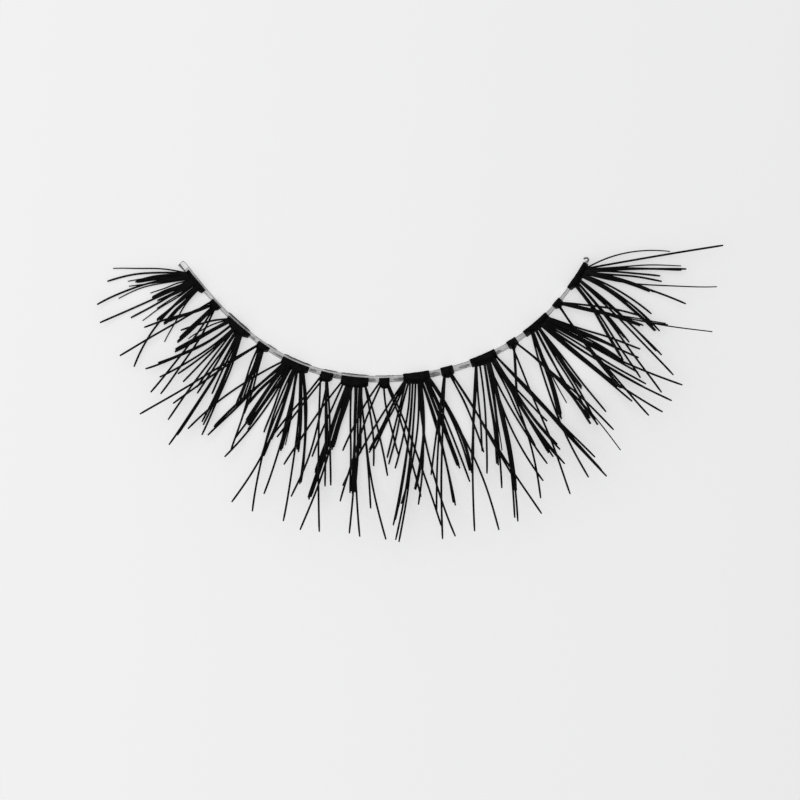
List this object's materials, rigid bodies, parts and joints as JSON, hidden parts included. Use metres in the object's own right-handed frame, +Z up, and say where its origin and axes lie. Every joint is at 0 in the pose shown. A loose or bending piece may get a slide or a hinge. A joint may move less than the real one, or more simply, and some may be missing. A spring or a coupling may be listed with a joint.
{
  "type": "false eyelash strip",
  "caption": "Strip false eyelash: a curved clear band with knotted tufts of fine black hair that cross, fan outward and curl up at the tips.",
  "frame": {"origin": "middle of the underside of the whole strip as it lies, on the surface it rests on", "axes": "+X along the strip from its short-haired end to its long-haired end, +Y to the hollow side of the band where the eyelid goes, +Z up, the way the tips curl"},
  "size_m": [0.042, 0.0198, 0.0043],
  "materials": {
    "clear_band": "clear, slightly milky glued nylon band with a dark thread line",
    "black_fibre": "satin black synthetic fibre, the knots coated with dried black glue"
  },
  "bodies": {
    "root": {"band": "clear_band", "tuft_01": "black_fibre", "tuft_02": "black_fibre", "tuft_03": "black_fibre", "tuft_04": "black_fibre", "tuft_05": "black_fibre", "tuft_06": "black_fibre", "tuft_07": "black_fibre", "tuft_08": "black_fibre", "tuft_09": "black_fibre", "tuft_10": "black_fibre", "tuft_11": "black_fibre", "tuft_12": "black_fibre", "tuft_13": "black_fibre", "tuft_14": "black_fibre", "tuft_15": "black_fibre"}
  },
  "joints": []
}
